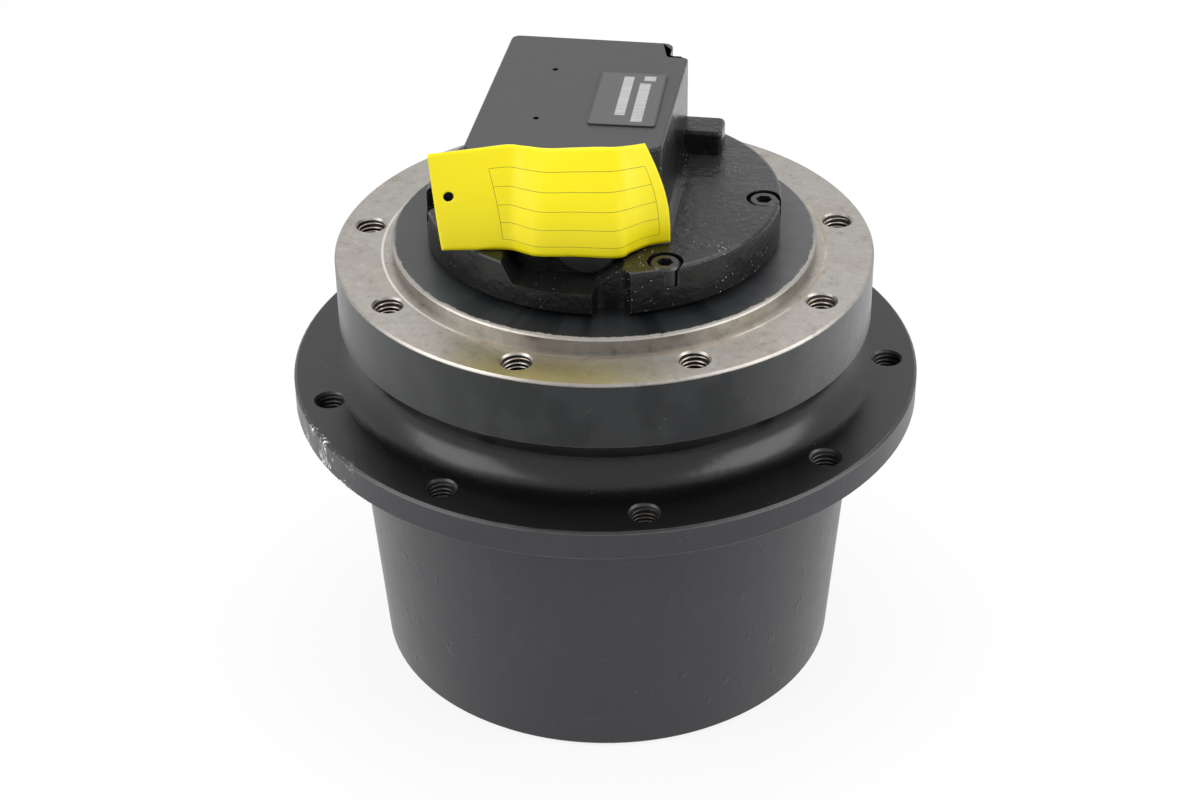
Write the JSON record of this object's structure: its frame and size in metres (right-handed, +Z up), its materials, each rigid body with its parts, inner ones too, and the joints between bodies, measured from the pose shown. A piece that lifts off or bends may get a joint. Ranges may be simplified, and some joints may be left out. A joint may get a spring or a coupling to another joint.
{
  "type": "hydrostatic drive motor",
  "caption": "Track drive: fixed hub with an axial piston motor and parking brake inside a rotating planetary gear housing with sprocket flange and valve block.",
  "frame": {"origin": "middle of the housing's standing face, on the turning axis", "axes": "+Z up the turning axis towards the motor cover, +Y away from the viewer of the picture, +X to the viewer's right"},
  "size_m": [0.2708, 0.2708, 0.2625],
  "materials": {
    "ring_steel": "turned bare steel with oil stains",
    "black_paint": "satin black paint",
    "black_casting": "black painted casting",
    "bare_steel": "ground steel",
    "gear_steel": "case hardened gear steel",
    "cast_iron": "machined iron",
    "screw_steel": "blackened steel",
    "bronze": "bronze",
    "seal_rubber": "oil resistant rubber",
    "friction": "paper friction lining",
    "plate": "bare metal plate",
    "tag_plastic": "yellow plastic film",
    "spring_steel": "spring wire",
    "cage": "glass filled nylon"
  },
  "bodies": {
    "hub": {"spindle_hub": "ring_steel", "rear_cover": "black_casting", "rear_cover_seal": "seal_rubber", "cover_screws": "screw_steel", "nameplate": "plate", "handling_tag": "tag_plastic", "valve_caps": "screw_steel", "spool_springs": "spring_steel", "speed_valve_spring": "spring_steel", "relief_valves": "bare_steel", "valve_plate": "bronze", "shaft_bearings": "bare_steel", "shaft_seal": "seal_rubber", "brake_plates": "bare_steel", "brake_springs": "spring_steel", "bearing_inner_races": "bare_steel", "bearing_nut": "screw_steel", "hub_seal_ring": "cast_iron", "hub_seal_cushion": "seal_rubber", "planet_pins_2": "bare_steel", "planet_rollers_2": "bare_steel"},
    "housing": {"gear_housing": "black_paint", "end_cover": "black_paint", "end_cover_clip": "spring_steel", "oil_plugs": "screw_steel", "bearing_outer_races": "bare_steel", "housing_seal_ring": "cast_iron", "housing_seal_cushion": "seal_rubber"},
    "ball_cages": {"bearing_balls": "bare_steel", "bearing_cages": "cage"},
    "planet_2a": {"planet_gear_2a": "gear_steel"},
    "planet_2b": {"planet_gear_2b": "gear_steel"},
    "planet_2c": {"planet_gear_2c": "gear_steel"},
    "carrier": {"carrier_1": "cast_iron", "sun_gear_2": "gear_steel", "planet_pins_1": "bare_steel", "planet_rollers_1": "bare_steel"},
    "planet_1a": {"planet_gear_1a": "gear_steel"},
    "planet_1b": {"planet_gear_1b": "gear_steel"},
    "planet_1c": {"planet_gear_1c": "gear_steel"},
    "shaft": {"motor_shaft": "bare_steel", "sun_gear_1": "gear_steel", "cylinder_barrel": "cast_iron", "barrel_spring": "spring_steel", "ball_guide": "bronze", "friction_discs": "friction"},
    "retainer": {"retainer_plate": "bare_steel"},
    "brake_apply": {"brake_piston": "cast_iron"},
    "balance_spool": {"counterbalance_spool": "bare_steel"},
    "speed_spool": {"speed_valve_spool": "bare_steel"},
    "swash": {"swash_plate": "cast_iron"},
    "stroke_piston": {"speed_piston": "bare_steel"},
    "pistons_a": {"piston_0": "bare_steel"},
    "pistons_b": {"pistons_1": "bare_steel"},
    "pistons_c": {"pistons_2": "bare_steel"},
    "pistons_d": {"pistons_3": "bare_steel"},
    "slippers_a": {"slipper_0": "bronze"},
    "slippers_b": {"slippers_1": "bronze"},
    "slippers_c": {"slippers_2": "bronze"},
    "slippers_d": {"slippers_3": "bronze"}
  },
  "joints": [
    {"name": "housing_spin", "type": "hinge", "parent": "hub", "child": "housing", "pos_m": [0, 0, 0.08], "axis": [0, 0, 1], "continuous": true},
    {"name": "cage_spin", "type": "hinge", "parent": "hub", "child": "ball_cages", "pos_m": [0, 0, 0.108], "axis": [0, 0, 1], "continuous": true},
    {"name": "planet_2a_spin", "type": "hinge", "parent": "hub", "child": "planet_2a", "pos_m": [0, 0.05625, 0.0615], "axis": [0, 0, 1], "continuous": true},
    {"name": "planet_2b_spin", "type": "hinge", "parent": "hub", "child": "planet_2b", "pos_m": [-0.04871, -0.02813, 0.0615], "axis": [0, 0, 1], "continuous": true},
    {"name": "planet_2c_spin", "type": "hinge", "parent": "hub", "child": "planet_2c", "pos_m": [0.04871, -0.02813, 0.0615], "axis": [0, 0, 1], "continuous": true},
    {"name": "carrier_spin", "type": "hinge", "parent": "hub", "child": "carrier", "pos_m": [0, 0, 0.04], "axis": [0, 0, 1], "continuous": true},
    {"name": "planet_1a_spin", "type": "hinge", "parent": "carrier", "child": "planet_1a", "pos_m": [0.04547, 0.02625, 0.026], "axis": [0, 0, 1], "continuous": true},
    {"name": "planet_1b_spin", "type": "hinge", "parent": "carrier", "child": "planet_1b", "pos_m": [-0.04547, 0.02625, 0.026], "axis": [0, 0, 1], "continuous": true},
    {"name": "planet_1c_spin", "type": "hinge", "parent": "carrier", "child": "planet_1c", "pos_m": [0, -0.0525, 0.026], "axis": [0, 0, 1], "continuous": true},
    {"name": "shaft_spin", "type": "hinge", "parent": "hub", "child": "shaft", "pos_m": [0, 0, 0.1], "axis": [0, 0, 1], "continuous": true},
    {"name": "swash_tilt", "type": "hinge", "parent": "hub", "child": "swash", "pos_m": [0, 0, 0.1365], "axis": [0, 1, 0], "range_deg": [0, 15]},
    {"name": "retainer_tilt", "type": "hinge", "parent": "shaft", "child": "retainer", "pos_m": [0, 0, 0.1365], "axis": [0, 1, 0], "range_deg": [0, 15.1]},
    {"name": "piston_a_stroke", "type": "slide", "parent": "shaft", "child": "pistons_a", "axis": [0, 0, 1], "range_m": [-0.00663, 0]},
    {"name": "slipper_a_tilt", "type": "hinge", "parent": "pistons_a", "child": "slippers_a", "pos_m": [0.0245, 0, 0.1365], "axis": [0, 1, 0], "range_deg": [0, 15.1]},
    {"name": "piston_b_stroke", "type": "slide", "parent": "shaft", "child": "pistons_b", "axis": [0, 0, 1], "range_m": [-0.00413, 0]},
    {"name": "slipper_b_tilt", "type": "hinge", "parent": "pistons_b", "child": "slippers_b", "pos_m": [0.01528, 0, 0.1365], "axis": [0, 1, 0], "range_deg": [0, 15.1]},
    {"name": "piston_c_stroke", "type": "slide", "parent": "shaft", "child": "pistons_c", "axis": [0, 0, 1], "range_m": [0, 0.00147]},
    {"name": "slipper_c_tilt", "type": "hinge", "parent": "pistons_c", "child": "slippers_c", "pos_m": [-0.00545, 0, 0.1365], "axis": [0, 1, 0], "range_deg": [0, 15.1]},
    {"name": "piston_d_stroke", "type": "slide", "parent": "shaft", "child": "pistons_d", "axis": [0, 0, 1], "range_m": [0, 0.00597]},
    {"name": "slipper_d_tilt", "type": "hinge", "parent": "pistons_d", "child": "slippers_d", "pos_m": [-0.02207, 0, 0.1365], "axis": [0, 1, 0], "range_deg": [0, 15.1]},
    {"name": "stroke_piston_slide", "type": "slide", "parent": "hub", "child": "stroke_piston", "axis": [0, 0, 1], "range_m": [-0.0101, 0]},
    {"name": "brake_release", "type": "slide", "parent": "hub", "child": "brake_apply", "axis": [0, 0, 1], "range_m": [0, 0.0018], "stiffness_N_per_m": 4000, "springref_m": -0.004, "deforming": ["brake_springs"]},
    {"name": "counterbalance_shift", "type": "slide", "parent": "hub", "child": "balance_spool", "axis": [0.1564, 0.9877, 0], "range_m": [-0.005, 0.005], "stiffness_N_per_m": 1500, "deforming": ["spool_springs"]},
    {"name": "speed_shift", "type": "slide", "parent": "hub", "child": "speed_spool", "axis": [-0.1564, -0.9877, 0], "range_m": [0, 0.005], "stiffness_N_per_m": 600, "springref_m": -0.002, "deforming": ["speed_valve_spring"]}
  ],
  "couplings": [
    {"joint": "cage_spin", "follows": "housing_spin", "ratio": 0.53809},
    {"joint": "planet_2a_spin", "follows": "housing_spin", "ratio": 2.6667},
    {"joint": "planet_2b_spin", "follows": "housing_spin", "ratio": 2.6667},
    {"joint": "planet_2c_spin", "follows": "housing_spin", "ratio": 2.6667},
    {"joint": "carrier_spin", "follows": "housing_spin", "ratio": -4},
    {"joint": "planet_1a_spin", "follows": "housing_spin", "ratio": 12},
    {"joint": "planet_1b_spin", "follows": "housing_spin", "ratio": 12},
    {"joint": "planet_1c_spin", "follows": "housing_spin", "ratio": 12},
    {"joint": "shaft_spin", "follows": "housing_spin", "ratio": -34},
    {"joint": "retainer_tilt", "follows": "swash_tilt", "ratio": 1},
    {"joint": "piston_a_stroke", "follows": "swash_tilt", "m_per_rad": -0.025076},
    {"joint": "slipper_a_tilt", "follows": "swash_tilt", "ratio": 1},
    {"joint": "piston_b_stroke", "follows": "swash_tilt", "m_per_rad": -0.015634},
    {"joint": "slipper_b_tilt", "follows": "swash_tilt", "ratio": 1},
    {"joint": "piston_c_stroke", "follows": "swash_tilt", "m_per_rad": 0.0055798},
    {"joint": "slipper_c_tilt", "follows": "swash_tilt", "ratio": 1},
    {"joint": "piston_d_stroke", "follows": "swash_tilt", "m_per_rad": 0.022592},
    {"joint": "slipper_d_tilt", "follows": "swash_tilt", "ratio": 1},
    {"joint": "stroke_piston_slide", "follows": "swash_tilt", "m_per_rad": -0.0382}
  ]
}
